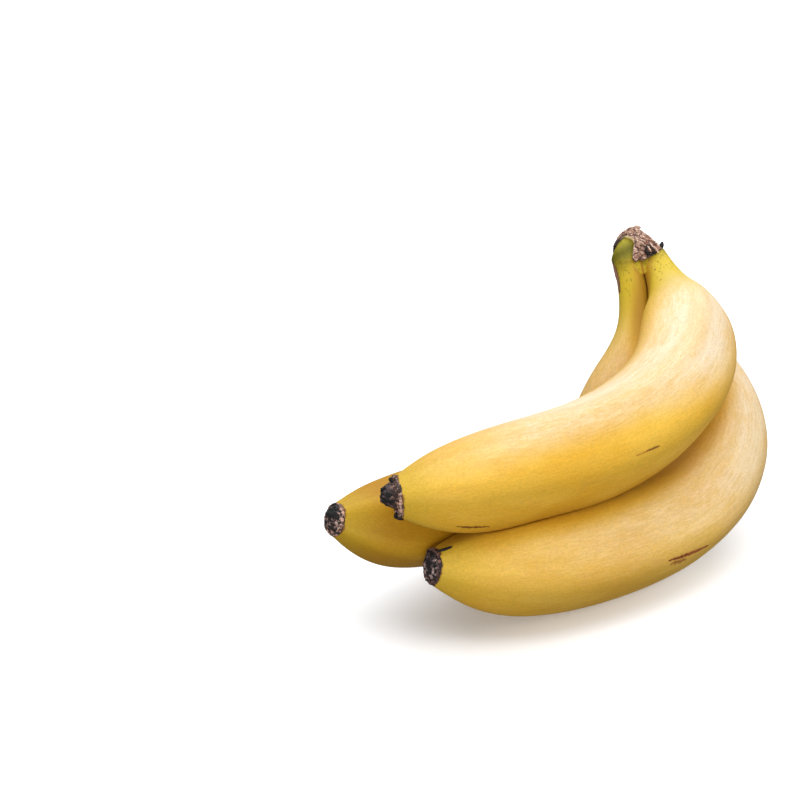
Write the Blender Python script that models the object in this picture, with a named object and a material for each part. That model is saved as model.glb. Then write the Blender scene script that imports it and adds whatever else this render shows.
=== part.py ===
"""A small bunch of ripe bananas, as cut from the plant and laid down on a table.

Lengths are in metres and +Z is up. The bunch lies on z = 0, and the origin is on that
surface under the middle of the whole bunch. The flower ends point to -Y, and the fruits
curve round through +X to the crown, which is at +Y and up.

Each fruit is a five-sided body carried along a curved centre line. Places along the line
are shares of its length, from 0 at the dried flower end to 1 at the crown. Two fruits that
press on each other are flat where they meet, and the two that lie on the table have a
small flat spot there. The stalks run into one crown of living skin. Dried tissue covers
the crown's cut face, and each flower end carries its withered stub.
"""
import math

import bpy
import numpy as np

MM = 0.001

# Clearance between two pieces that touch on the real bunch.
GAP = 0.35 * MM

FRUIT_RINGS = 46
FRUIT_SIDES = 25
LINE_SAMPLES = 300
RING_CROWDING = 0.045

# Centre lines, in millimetres, at equal steps from the flower end to the crown.
FRUITS = {
    "top": {
        "line": [(-1.7, -88.8, 54.9), (21.0, -81.6, 55.6), (43.0, -68.0, 55.0),
                 (66.5, -56.5, 57.0), (87.5, -41.5, 62.0), (101.5, -21.0, 67.5),
                 (106.5, 4.0, 73.5), (104.5, 29.5, 78.5), (97.0, 52.0, 88.0)],
        "radius": 18.6 * MM, "tip_share": 0.38, "neck_at": 0.868, "neck_length": 0.085,
        "ridge_from": 40.0, "ridge_twist": 30.0,
        "lump": {"up": 1.2 * MM, "radius": 4.3 * MM, "height": 4.0 * MM},
    },
    "front": {
        "line": [(10.7, -89.5, 28.0), (37.5, -79.0, 22.5), (63.0, -66.0, 20.5),
                 (86.0, -50.0, 20.5), (106.0, -30.5, 23.0), (118.0, -7.0, 32.5),
                 (117.0, 18.0, 45.0), (108.5, 39.5, 61.0), (98.5, 59.0, 79.5)],
        "radius": 19.5 * MM, "tip_share": 0.305, "neck_at": 0.826, "neck_length": 0.115,
        "ridge_from": 38.0, "ridge_twist": 8.0,
        "lump": {"up": 3.5 * MM, "radius": 2.6 * MM, "height": 1.4 * MM},
    },
    "back": {
        "line": [(-23.5, -81.0, 42.1), (-1.5, -68.0, 34.5), (19.5, -52.0, 29.5),
                 (40.5, -35.5, 20.5), (60.0, -19.0, 19.0), (76.5, 0.5, 26.0),
                 (85.5, 17.0, 43.5), (91.0, 32.0, 65.0), (87.0, 48.5, 86.0)],
        "radius": 18.6 * MM, "tip_share": 0.285, "neck_at": 0.827, "neck_length": 0.10,
        "ridge_from": 24.0, "ridge_twist": 20.0,
        "lump": {"up": 3.0 * MM, "radius": 2.6 * MM, "height": 1.6 * MM},
    },
}
# From the centre lines' zero to the middle of the bunch, on the table.
LINE_ZERO = (55.6 * MM, -14.15 * MM, 1.0 * MM)

TIP_START = 0.005
TIP_LENGTH = 0.078
TIP_POWER = 1.2
STALK_SHARE = 0.266

RIDGES = 5
RIDGE_SHARPNESS = 6.0
RIDGE_DEPTH = 0.75
STALK_RIDGE_DEPTH = 0.45

# The crown's base, where all the stalks end, and its own three axes.
CROWN_BASE = (94.1 * MM, 53.0 * MM, 84.5 * MM)
CROWN_UP = (-0.40, 0.66, 0.63)
CROWN_FRONT = (-0.141, -0.728, 0.670)
# Inside the crown each stalk runs on to this place, given along front, right and up.
STALK_TOPS = {
    "top": {"to": (1.0, 2.5, 9.0), "radius": 6.0 * MM},
    "front": {"to": (-4.0, 3.2, 14.5), "radius": 5.0 * MM},
    "back": {"to": (2.6, -4.4, 8.0), "radius": 5.9 * MM},
}
STALK_MERGE = 1.5 * MM
STALK_RUN = 6.0 * MM
CROWN_HEART = (-1.5, -0.5, 5.0)
# Cut faces of the crown: the outward direction and the distance from the base's middle.
CROWN_CUTS = [((0.90, 0.35, 0.25), 8.6 * MM), ((0.06, 0.88, 0.46), 7.3 * MM),
              ((0.09, -0.17, 0.98), 11.9 * MM), ((0.03, -0.59, 0.81), 11.2 * MM)]
CUT_ROUNDING = 0.55 * MM
CROWN_RINGS = 26
CROWN_SIDES = 40

CUT_FACING = (0.60, 0.48, 0.64)
# How far the crust reaches from there, in degrees, at each azimuth round that direction.
CUT_EDGE = [(-4, 72), (2, 44), (18, 42), (30, 46), (36, 53), (43, 98), (57, 98), (70, 87),
            (81, 79), (90, 68), (100, 63), (135, 64), (180, 78), (230, 95), (270, 104),
            (310, 102), (340, 84)]
CUT_LOWEST = 0.8 * MM
CUT_RINGS = 16
CUT_LIFT = 0.6 * MM
CUT_THICK = 1.8 * MM
CUT_EDGE_THICK = 0.7 * MM

STUB_SIDES = 20
# The withered end's rings: share of the fruit's tip radius, and share of the rim's height.
STUB_RINGS = [(0.88, 0.0), (0.98, 0.3), (1.0, 0.8), (0.94, 1.0), (0.78, 1.0), (0.58, 1.0),
              (0.36, 1.0), (0.16, 1.0)]
STUB_RIM = 1.2 * MM
STUB_DOME = 1.6 * MM

PEEL = (0.80, 0.55, 0.10, 1.0)
LIVING_SKIN = (0.42, 0.40, 0.06, 1.0)
DRIED_CUT = (0.27, 0.15, 0.09, 1.0)
DRIED_FLOWER = (0.09, 0.05, 0.04, 1.0)


def unit(v):
    """Vectors along the last axis, each made one long."""
    v = np.asarray(v, float)
    return v / np.linalg.norm(v, axis=-1, keepdims=True)


def ease(low, high, x):
    """A smooth step from 0 at low to 1 at high."""
    t = np.clip((x - low) / (high - low), 0.0, 1.0)
    return t * t * (3.0 - 2.0 * t)


def natural_spline(points, at):
    """A cubic spline through evenly spaced points, with no bend at its two ends.

    The bends come from one linear system, in which each inner point's bend and its two
    neighbours' add up, as 1, 4 and 1, to six times the points' second difference.
    """
    last = len(points) - 1
    inner = np.arange(1, last)
    system = np.eye(last + 1)
    system[inner, inner] = 4.0
    system[inner, inner - 1] = 1.0
    system[inner, inner + 1] = 1.0
    change = np.zeros_like(points)
    change[inner] = 6.0 * (points[inner + 1] - 2.0 * points[inner] + points[inner - 1])
    bend = np.linalg.solve(system, change)
    place = at * last
    k = np.minimum(place.astype(int), last - 1)
    b = (place - k)[:, None]
    a = 1.0 - b
    straight = a * points[k] + b * points[k + 1]
    return straight + ((a ** 3 - a) * bend[k] + (b ** 3 - b) * bend[k + 1]) / 6.0


def at_shares(samples, shares):
    """Values read off an evenly sampled line at the given shares of its length."""
    even = np.linspace(0.0, 1.0, len(samples))
    return np.stack([np.interp(shares, even, samples[:, i]) for i in range(3)], axis=1)


def even_by_length(line):
    """The same line, sampled again at even shares of its length."""
    steps = np.linalg.norm(np.diff(line, axis=0), axis=1)
    length = np.concatenate([[0.0], np.cumsum(steps)])
    even = np.linspace(0.0, length[-1], LINE_SAMPLES)
    return np.stack([np.interp(even, length, line[:, i]) for i in range(3)], axis=1)


def centre_line(fruit):
    """The fruit's centre line, sampled at even lengths, ending on the crown's base plane."""
    points = np.array(fruit["line"]) * MM
    up = unit(CROWN_UP)
    points[-1] += np.dot(np.array(CROWN_BASE) - points[-1], up) * up
    fine = natural_spline(points - np.array(LINE_ZERO), np.linspace(0.0, 1.0, LINE_SAMPLES))
    return even_by_length(fine)


def girth(fruit, share):
    """A fruit's radius: quick growth from the flower end, full, then the neck and stalk."""
    missing = (1.0 - fruit["tip_share"]) * np.exp(-(share / TIP_LENGTH) ** TIP_POWER)
    fullness = 0.5 * (1.0 - np.tanh((share - fruit["neck_at"]) / fruit["neck_length"]))
    return fruit["radius"] * (1.0 - missing) * (STALK_SHARE + (1.0 - STALK_SHARE) * fullness)


def ridged(angle):
    """A rounded polygon's reach in each direction, with a mean of 1.

    It is one over the p-norm of the cosines to the face directions, so a face lies half a
    step to each side of angle 0, where a ridge is.
    """
    faces = (np.arange(RIDGES) + 0.5) * 2.0 * math.pi / RIDGES
    even = np.linspace(0.0, 2.0 * math.pi, 361)[:-1]

    def reach(a):
        cosines = np.maximum(np.cos(a[..., None] - faces), 0.0)
        return (cosines ** RIDGE_SHARPNESS).sum(axis=-1) ** (-1.0 / RIDGE_SHARPNESS)

    return reach(angle) / reach(even).mean()


LINES = {name: centre_line(fruit) for name, fruit in FRUITS.items()}


def line_axes(name, shares):
    """Centre, direction along the line, outward on the bend, and sideways, at each share.

    Outward is square to the direction and to the fruit's bend axis, which is the mean of
    the turns along the line. At the crown the direction eases into the crown's own.
    """
    line = LINES[name]
    along = unit(np.gradient(line, axis=0))
    bend_axis = unit(np.cross(along[:-1], along[1:]).sum(axis=0))
    centre = at_shares(line, shares)
    to_crown = ease(0.92, 1.0, shares)[:, None]
    along = unit(unit(at_shares(along, shares)) * (1.0 - to_crown) + unit(CROWN_UP) * to_crown)
    outward = unit(np.cross(along, bend_axis))
    return centre, along, outward, np.cross(along, outward)


def outside(points, name):
    """How far each point is outside a round fruit: to its line, less the radius there."""
    shares = np.linspace(0.0, 1.0, LINE_SAMPLES)
    radii = girth(FRUITS[name], shares)
    nearest = np.full(points.shape[:-1], np.inf)
    for place, radius in zip(LINES[name], radii):
        nearest = np.minimum(nearest, np.linalg.norm(points - place, axis=-1) - radius)
    return nearest


def fruit_surface(name, shares, angles):
    """Grid of points on a fruit, rings by angles round the line from the outward side.

    A ring is the ridged outline times the girth, and the ridges twist slowly. A point that
    would come nearer to another fruit than half the gap is drawn back towards its own
    line, and a point under the table is drawn back to it.
    """
    fruit = FRUITS[name]
    centre, _, outward, sideways = line_axes(name, shares)
    ridge = np.radians(fruit["ridge_from"] + fruit["ridge_twist"] * shares)
    depth = RIDGE_DEPTH + (STALK_RIDGE_DEPTH - RIDGE_DEPTH) * ease(0.7, 0.95, shares)
    round_girth = girth(fruit, shares)[:, None]
    reach = round_girth * (1.0 + depth[:, None] * (ridged(angles[None, :] - ridge[:, None]) - 1.0))
    ray = (np.cos(angles)[None, :, None] * outward[:, None, :]
           + np.sin(angles)[None, :, None] * sideways[:, None, :])
    for other in FRUITS:
        if other == name:
            continue
        for _ in range(8):
            points = centre[:, None, :] + reach[..., None] * ray
            over = (reach - round_girth) - outside(points, other) + GAP
            reach = reach - 0.5 * np.maximum(over, 0.0)
    down = np.minimum(ray[..., 2], -1e-6)
    reach = np.minimum(reach, centre[:, None, 2] / -down)
    return centre[:, None, :] + reach[..., None] * ray


def closed_loft(rings, first_pole, last_pole):
    """Vertices and faces of rings joined in order, with a fan of triangles at each end."""
    count, sides = rings.shape[:2]
    first = np.arange(sides)
    after = (first + 1) % sides
    base = (np.arange(count - 1) * sides)[:, None]
    quads = np.stack([base + first, base + after, base + sides + after, base + sides + first],
                     axis=-1).reshape(-1, 4)
    start, end = count * sides, count * sides + 1
    far = (count - 1) * sides
    faces = [tuple(int(i) for i in quad) for quad in quads]
    faces += [(start, int(b), int(a)) for a, b in zip(first, after)]
    faces += [(end, int(far + a), int(far + b)) for a, b in zip(first, after)]
    vertices = np.concatenate([rings.reshape(-1, 3), [first_pole, last_pole]])
    return vertices.tolist(), faces


def make_piece(name, mesh_data, material, collection):
    """One named solid from its vertices and faces, shaded smooth, with its material."""
    vertices, faces = mesh_data
    mesh = bpy.data.meshes.new(name)
    mesh.from_pydata(vertices, [], faces)
    mesh.validate()
    mesh.shade_smooth()
    mesh.set_sharp_from_angle(angle=math.radians(50.0))
    mesh.materials.append(material)
    piece = bpy.data.objects.new(name, mesh)
    collection.objects.link(piece)
    return piece


def make_material(name, colour, roughness):
    """A plain Principled material."""
    material = bpy.data.materials.new(name)
    material.use_nodes = True
    shader = material.node_tree.nodes["Principled BSDF"]
    shader.inputs["Base Color"].default_value = colour
    shader.inputs["Roughness"].default_value = roughness
    shader.inputs["Metallic"].default_value = 0.0
    return material


def fruit_mesh(name):
    """A whole fruit: rings crowded towards both ends, closed flat at each."""
    even = np.linspace(0.0, 1.0, FRUIT_RINGS)
    crowded = even - RING_CROWDING * np.sin(2.0 * math.pi * even)
    shares = TIP_START + (1.0 - TIP_START) * crowded
    angles = np.arange(FRUIT_SIDES) * 2.0 * math.pi / FRUIT_SIDES
    rings = fruit_surface(name, shares, angles)
    ends = line_axes(name, np.array([TIP_START, 1.0]))[0]
    return closed_loft(rings, ends[0], ends[1])


def stub_mesh(name):
    """The withered flower end: a disc on the fruit's tip, domed, with one blunt lump on it.

    The lump falls off with the sixth power of the distance from its middle.
    """
    fruit = FRUITS[name]
    lump = fruit["lump"]
    centre, along, _, _ = line_axes(name, np.array([TIP_START]))
    away = -along[0]
    up = unit(np.array([0.0, 0.0, 1.0]) - away[2] * away)
    across = np.cross(up, away)
    spread, rise = np.array(STUB_RINGS).T[:, :, None]
    angles = np.arange(STUB_SIDES) * 2.0 * math.pi / STUB_SIDES
    radius = girth(fruit, TIP_START) * spread
    high = radius * np.cos(angles)
    wide = -radius * np.sin(angles)
    off_lump = np.hypot(high - lump["up"], wide) / lump["radius"]
    hump = lump["height"] * np.exp(-off_lump ** 6)
    dome = STUB_DOME * (1.0 - spread ** 2)
    height = GAP + rise * STUB_RIM + (rise >= 1.0) * (dome + hump)
    rings = (centre[0] + height[..., None] * away + high[..., None] * up
             + wide[..., None] * across)
    top_height = GAP + STUB_RIM + STUB_DOME
    top_height += lump["height"] * math.exp(-(lump["up"] / lump["radius"]) ** 6)
    return closed_loft(rings, centre[0] + GAP * away, centre[0] + top_height * away)


def crown_axes():
    """The crown's front, right and up directions, as rows, each square to the others."""
    up = unit(CROWN_UP)
    front = np.array(CROWN_FRONT)
    front = unit(front - np.dot(front, up) * up)
    return np.array([front, np.cross(up, front), up])


CROWN_AXES = crown_axes()
CROWN_ORIGIN = np.array(CROWN_BASE) - np.array(LINE_ZERO)


def crown_outside(points):
    """How far each point, along the crown's own axes, is outside its merged stalks.

    Each stalk is a tapering round bar from the fruit's end to its place in the crown. The
    bars are merged by the logarithm of the sum of their exponentials.
    """
    total = 0.0
    for name, top in STALK_TOPS.items():
        start = CROWN_AXES @ (LINES[name][-1] - CROWN_ORIGIN)
        bar = np.array(top["to"]) * MM - start
        share = ((points - start) @ bar / np.dot(bar, bar)).clip(-0.6, 1.0)
        nearest = start + share[..., None] * bar
        end_radius = girth(FRUITS[name], 1.0)
        radius = end_radius + (top["radius"] - end_radius) * share.clip(0.0, 1.0)
        total = total + np.exp((radius - np.linalg.norm(points - nearest, axis=-1)) / STALK_MERGE)
    return -STALK_MERGE * np.log(total)


def crown_reach(rays, base=GAP):
    """The distance from the crown's heart to its surface along each ray, by halving.

    The merged stalks and the cut faces meet in rounded edges, by the logarithm of the sum
    of the exponentials of their depths. The base is flat, at its height over the stalks.
    """
    heart = np.array(CROWN_HEART) * MM
    low = np.zeros(rays.shape[:-1])
    high = np.full(rays.shape[:-1], 30.0 * MM)
    for _ in range(24):
        middle = 0.5 * (low + high)
        points = heart + middle[..., None] * rays
        swell = np.exp(crown_outside(points) / CUT_ROUNDING)
        for normal, distance in CROWN_CUTS:
            swell = swell + np.exp((points @ unit(normal) - distance) / CUT_ROUNDING)
        depth = np.maximum(CUT_ROUNDING * np.log(swell), base - points[..., 2])
        low = np.where(depth < 0.0, middle, low)
        high = np.where(depth < 0.0, high, middle)
    return low


def crown_rays(pole, polar, azimuth):
    """Directions at polar angles from a pole and at azimuths round it, grid by grid.

    Azimuth 0 is square to the pole and to the crown's up direction, or to its right where
    the pole is its up direction.
    """
    pole = unit(pole)
    side = (0.0, 1.0, 0.0) if pole[2] > 0.99 else (0.0, 0.0, 1.0)
    first = unit(np.cross(pole, side))
    second = np.cross(pole, first)
    round_it = np.cos(azimuth)[:, None] * first + np.sin(azimuth)[:, None] * second
    return (np.cos(polar)[..., None] * pole
            + np.sin(polar)[..., None] * round_it[None, :, :])


def crown_world(rays, reach):
    """Points at a reach along rays from the crown's heart, in the bunch's frame."""
    return to_world(np.array(CROWN_HEART) * MM + reach[..., None] * rays)


def to_world(local):
    """Points given along the crown's own axes, in the bunch's frame."""
    return CROWN_ORIGIN + local @ CROWN_AXES


def crown_mesh():
    """The crown: the merged stalks, seen from the heart, as a grid of rays."""
    polar = (np.arange(CROWN_RINGS) + 0.6) * math.pi / (CROWN_RINGS + 0.2)
    azimuth = np.arange(CROWN_SIDES) * 2.0 * math.pi / CROWN_SIDES
    grid = np.repeat(polar[::-1, None], CROWN_SIDES, axis=1)
    rays = crown_rays((0.0, 0.0, 1.0), grid, azimuth)
    poles = np.array([[0.0, 0.0, -1.0], [0.0, 0.0, 1.0]])
    ends = crown_world(poles, crown_reach(poles))
    return closed_loft(crown_world(rays, crown_reach(rays)), ends[0], ends[1])


def crown_cut_mesh():
    """The dried crust: a shell over the crown's cut faces, thinner towards its edge."""
    azimuth = np.arange(CROWN_SIDES) * 2.0 * math.pi / CROWN_SIDES
    share = (np.arange(CUT_RINGS) + 1.0) / CUT_RINGS
    edge_azimuth, edge_polar = np.radians(np.array(CUT_EDGE, float)).T
    edge = np.interp(azimuth, edge_azimuth, edge_polar, period=2.0 * math.pi)
    rays = crown_rays(CUT_FACING, share[:, None] * edge[None, :], azimuth)
    skin = crown_reach(rays, base=-STALK_RUN) + CUT_LIFT
    thick = CUT_EDGE_THICK + (CUT_THICK - CUT_EDGE_THICK) * (1.0 - share ** 4)[:, None]
    heart = np.array(CROWN_HEART) * MM
    layers = []
    for reach in (skin, skin + thick):
        local = heart + reach[..., None] * rays
        local[..., 2] = np.maximum(local[..., 2], CUT_LOWEST)
        layers.append(to_world(local))
    pole = unit(CUT_FACING)[None, :]
    pole_skin = crown_reach(pole) + CUT_LIFT
    low = crown_world(pole, pole_skin)[0]
    high = crown_world(pole, pole_skin + CUT_THICK)[0]
    return closed_loft(np.concatenate([layers[0], layers[1][::-1]]), low, high)


def clear_scene():
    """Remove every object, so that the model stands alone."""
    for old in list(bpy.data.objects):
        bpy.data.objects.remove(old, do_unlink=True)


def main():
    clear_scene()
    bunch = bpy.data.collections.new("banana_bunch")
    bpy.context.scene.collection.children.link(bunch)
    peel = make_material("peel", PEEL, 0.48)
    living = make_material("crown_skin", LIVING_SKIN, 0.5)
    cut = make_material("dried_cut", DRIED_CUT, 0.85)
    flower = make_material("dried_flower_end", DRIED_FLOWER, 0.8)
    for name in FRUITS:
        make_piece("fruit_" + name, fruit_mesh(name), peel, bunch)
        make_piece("flower_end_" + name, stub_mesh(name), flower, bunch)
    make_piece("crown", crown_mesh(), living, bunch)
    make_piece("crown_cut", crown_cut_mesh(), cut, bunch)


main()
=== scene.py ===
"""The looks of a small bunch of ripe bananas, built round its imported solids.

Lengths are metres in the frame of the solids, +Z up, with the flower ends towards -Y and
the crown up and back. Each piece is a surface worked out on a grid of two parameters, from
the same centre lines, girths and crown as the solids, with finer relief. Places on a peel
are also given in millimetres on its straightened fruit, so that fibres run lengthwise.
"""
import itertools
import math

import bpy
import numpy as np
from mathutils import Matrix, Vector


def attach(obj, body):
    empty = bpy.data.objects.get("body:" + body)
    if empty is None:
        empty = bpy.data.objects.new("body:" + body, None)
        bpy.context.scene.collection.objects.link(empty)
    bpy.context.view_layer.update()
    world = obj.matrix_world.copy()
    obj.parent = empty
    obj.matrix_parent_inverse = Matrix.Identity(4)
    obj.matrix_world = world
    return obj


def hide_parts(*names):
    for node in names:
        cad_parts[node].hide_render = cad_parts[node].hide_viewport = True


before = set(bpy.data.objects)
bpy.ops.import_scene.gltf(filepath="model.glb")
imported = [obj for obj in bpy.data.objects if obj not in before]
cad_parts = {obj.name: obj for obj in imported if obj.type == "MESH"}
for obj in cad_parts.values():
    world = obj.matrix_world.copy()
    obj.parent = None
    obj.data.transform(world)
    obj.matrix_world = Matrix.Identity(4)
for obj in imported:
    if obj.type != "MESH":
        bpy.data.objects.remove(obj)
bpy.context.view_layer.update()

MM = 0.001
TURN = 2.0 * math.pi

# Camera, for a square picture
CAMERA_TARGET = (-55.6 * MM, 14.15 * MM, 49.6 * MM)
CAMERA_DISTANCE = 1.1
CAMERA_DOWN = 25.0
CAMERA_LENS = 132.0
CAMERA_SENSOR = 36.0

# Studio: the floor's half width, the world's strength, and each soft light's place, size and watts
FLOOR_HALF = 6.0
WORLD_STRENGTH = 0.22
LIT_SPOT = (0.0, 0.0, 40.0 * MM)
LIGHTS = [("overhead", (-0.05, 0.45, 1.10), 2.0, 28.5),
          ("right_side", (0.95, -0.20, 0.55), 0.7, 4.0),
          ("front_fill", (-0.20, -1.20, 0.18), 1.0, 12.6)]

# Fruits: centre lines in millimetres, at equal steps from the flower end to the crown
FRUITS = {
    "top": {
        "line": [(-1.7, -88.8, 54.9), (21.0, -81.6, 55.6), (43.0, -68.0, 55.0),
                 (66.5, -56.5, 57.0), (87.5, -41.5, 62.0), (101.5, -21.0, 67.5),
                 (106.5, 4.0, 73.5), (104.5, 29.5, 78.5), (97.0, 52.0, 88.0)],
        "radius": 18.6 * MM, "tip_share": 0.38, "neck_at": 0.868, "neck_length": 0.085,
        "ridge_from": 40.0, "ridge_twist": 30.0,
        "lump": {"up": 1.2 * MM, "radius": 4.3 * MM, "height": 3.2 * MM},
        "strands": [([(-4.6, 2.2, 1.2), (-6.2, 2.6, 1.8), (-7.0, 3.0, 0.4)], 0.5),
                    ([(-5.6, 3.6, 0.8), (-6.6, 3.6, 1.2), (-7.2, 4.0, -0.8)], 0.4),
                    ([(5.6, 0.0, 1.5), (6.8, -0.2, 2.4), (7.6, -0.3, 2.4)], 0.5)],
    },
    "front": {
        "line": [(10.7, -89.5, 28.0), (37.5, -79.0, 22.5), (63.0, -66.0, 20.5),
                 (86.0, -50.0, 20.5), (106.0, -30.5, 23.0), (118.0, -7.0, 32.5),
                 (117.0, 18.0, 45.0), (108.5, 39.5, 61.0), (98.5, 59.0, 79.5)],
        "radius": 19.5 * MM, "tip_share": 0.305, "neck_at": 0.826, "neck_length": 0.115,
        "ridge_from": 38.0, "ridge_twist": 8.0,
        "lump": {"up": 3.5 * MM, "radius": 2.6 * MM, "height": 1.4 * MM},
        "strands": [([(6.2, 1.0, 0.8), (7.5, 1.9, -1.6), (9.0, 2.4, -4.2)], 0.5)],
    },
    "back": {
        "line": [(-23.5, -81.0, 42.1), (-1.5, -68.0, 34.5), (19.5, -52.0, 29.5),
                 (40.5, -35.5, 20.5), (60.0, -19.0, 19.0), (76.5, 0.5, 26.0),
                 (85.5, 17.0, 43.5), (91.0, 32.0, 65.0), (87.0, 48.5, 86.0)],
        "radius": 18.6 * MM, "tip_share": 0.285, "neck_at": 0.827, "neck_length": 0.10,
        "ridge_from": 24.0, "ridge_twist": 20.0,
        "lump": {"up": 3.0 * MM, "radius": 2.6 * MM, "height": 1.6 * MM},
    },
}
# The bunch's middle on the table, as the centre lines give places
LINE_ZERO = (55.6 * MM, -14.15 * MM, 1.0 * MM)
LINE_SAMPLES = 300
GAP = 0.35 * MM
# Girths, ridges and relief along a fruit, with lengths as shares of its line's
TIP_START = 0.005
TIP_LENGTH = 0.078
TIP_POWER = 1.2
STALK_SHARE = 0.266
RIDGES = 5
RIDGE_SHARPNESS = 6.0
RIDGE_DEPTH = 0.75
STALK_RIDGE_DEPTH = 0.45
RING_CROWDING = 0.045
CROWN_TURN_FROM = 0.92
STALK_RIDGE_SHARES = (0.7, 0.95)
RELIEF_START = 0.05
# Swells, dents and fibres on a peel, in millimetres: height, then size across, across and along
PEEL_RELIEF = [(0.26, (19.0, 19.0, 34.0)), (0.07, (6.0, 6.0, 13.0)), (0.022, (1.5, 1.5, 26.0))]

# A peel's grid, how its neighbours push it back, and the painted crease shade near them
PEEL_RINGS = 390
PEEL_SIDES = 190
PRESS_STEPS = 7
PRESS_REACH = 46
CREASE_SHADE_FROM = 12.0 * MM
CREASE_SHADE_FULL = 0.5 * MM
RIDGE_TINT_REACH = (0.985, 1.035)

# Crown: its base's middle and directions in the bunch, then places along its own front,
# right and up axes
CROWN_BASE = (94.1 * MM, 53.0 * MM, 84.5 * MM)
CROWN_UP = (-0.40, 0.66, 0.63)
CROWN_FRONT = (-0.141, -0.728, 0.670)
STALK_TOPS = {
    "top": {"to": (1.0, 2.5, 9.0), "radius": 6.0 * MM},
    "front": {"to": (-4.0, 3.2, 14.5), "radius": 5.0 * MM},
    "back": {"to": (2.6, -4.4, 8.0), "radius": 5.9 * MM},
}
STALK_MERGE = 1.5 * MM
STALK_RUN = 6.0 * MM
# A point inside, in millimetres, that every ray to the crown's surface starts from
CROWN_HEART = (-1.5, -0.5, 5.0)
# The cut's faces by direction and distance, how round their edges are, where the dried crust
# faces, its edge by azimuth and polar angle in degrees round that, and its thickness
CROWN_CUTS = [((0.90, 0.35, 0.25), 8.6 * MM), ((0.06, 0.88, 0.46), 7.3 * MM),
              ((0.09, -0.17, 0.98), 11.9 * MM), ((0.03, -0.59, 0.81), 11.2 * MM)]
CUT_ROUNDING = 0.55 * MM
CUT_FACING = (0.60, 0.48, 0.64)
CUT_EDGE = [(-4, 72), (2, 44), (18, 42), (30, 44), (35, 52), (40, 80), (46, 86), (53, 85),
            (60, 82), (69, 77), (78, 72), (87, 68), (100, 65), (135, 64), (180, 78), (230, 95),
            (270, 104), (310, 102), (340, 84)]
CUT_LOWEST = -3.2 * MM
CUT_LIFT = 0.6 * MM
CUT_THICK = 1.4 * MM
CUT_EDGE_THICK = 0.45 * MM


def unit(v):
    """Vectors along the last axis, each made one long."""
    v = np.asarray(v, float)
    return v / np.linalg.norm(v, axis=-1, keepdims=True)


def ease(low, high, x):
    """A smooth step from 0 at low to 1 at high."""
    t = np.clip((x - low) / (high - low), 0.0, 1.0)
    return t * t * (3.0 - 2.0 * t)


def signed(degrees):
    """Angles in degrees, brought to between -180 and 180."""
    return (degrees + 180.0) % 360.0 - 180.0


def scattered(cells, seed):
    """Three numbers from 0 to 1 for each whole-number cell, by mixing the bits of its place."""
    x, y, z = (cells[..., k].astype(np.int64).astype(np.uint32) for k in range(3))
    numbers = []
    for k in range(3):
        mixed = (x * np.uint32(0x8DA6B343)) ^ (y * np.uint32(0xD8163841)) ^ (z * np.uint32(0xCB1AB31F))
        mixed = mixed ^ np.uint32(7919 * seed + 104729 * k + 1)
        mixed = (mixed ^ (mixed >> np.uint32(15))) * np.uint32(0x2C1B3C6D)
        mixed = (mixed ^ (mixed >> np.uint32(12))) * np.uint32(0x297A2D39)
        numbers.append((mixed ^ (mixed >> np.uint32(15))) / 2.0 ** 32)
    return np.stack(numbers, axis=-1)


def noise(points, seed):
    """Smooth noise from about -1 to 1, one unit from bump to bump.

    Every whole-number corner has its own slope, and a point takes its eight corners' slopes
    blended by a fifth-power step.
    """
    base = np.floor(points)
    part = points - base
    blend = part ** 3 * (part * (part * 6.0 - 15.0) + 10.0)
    total = np.zeros(points.shape[:-1])
    for corner in itertools.product((0.0, 1.0), repeat=3):
        slope = scattered(base + corner, seed) * 2.0 - 1.0
        weight = np.where(np.array(corner) > 0.5, blend, 1.0 - blend).prod(axis=-1)
        total += weight * (slope * (part - corner)).sum(axis=-1)
    return total * 1.6


def rough(points, seed, octaves=4):
    """Noise added up over octaves, each twice as fine and half as high."""
    return sum(0.5 ** k * noise(points * 2.0 ** k, seed + k) for k in range(octaves))


def pebbles(points, seed):
    """Distances to the nearest and second nearest of points scattered one to a cell.

    Each scattered point has a tone from 0 to 1, and the nearest one's is given too.
    """
    base = np.floor(points)
    nearest = np.full(points.shape[:-1], 9.0)
    second = np.full(points.shape[:-1], 9.0)
    tone = np.zeros(points.shape[:-1])
    for step in itertools.product((-1.0, 0.0, 1.0), repeat=3):
        cell = base + step
        away = np.linalg.norm(points - cell - scattered(cell, seed), axis=-1)
        second = np.minimum(second, np.maximum(nearest, away))
        tone = np.where(away < nearest, scattered(cell, seed + 50)[..., 0], tone)
        nearest = np.minimum(nearest, away)
    return nearest, second, tone


def natural_spline(points, at):
    """A cubic spline through evenly spaced points, with no bend at its two ends.

    The bends come from one linear system, in which each inner point's bend and its two
    neighbours' add up, as 1, 4 and 1, to six times the points' second difference.
    """
    last = len(points) - 1
    inner = np.arange(1, last)
    system = np.eye(last + 1)
    system[inner, inner] = 4.0
    system[inner, inner - 1] = 1.0
    system[inner, inner + 1] = 1.0
    change = np.zeros_like(points)
    change[inner] = 6.0 * (points[inner + 1] - 2.0 * points[inner] + points[inner - 1])
    bend = np.linalg.solve(system, change)
    place = at * last
    k = np.minimum(place.astype(int), last - 1)
    b = (place - k)[:, None]
    a = 1.0 - b
    straight = a * points[k] + b * points[k + 1]
    return straight + ((a ** 3 - a) * bend[k] + (b ** 3 - b) * bend[k + 1]) / 6.0


def at_shares(samples, shares):
    """Values read off an evenly sampled line at the given shares of its length."""
    even = np.linspace(0.0, 1.0, len(samples))
    return np.stack([np.interp(shares, even, samples[:, i]) for i in range(3)], axis=-1)


def run_along(points):
    """The length of a line of points from its first to each of them."""
    steps = np.linalg.norm(np.diff(points, axis=0), axis=1)
    return np.concatenate([[0.0], np.cumsum(steps)])


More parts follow.
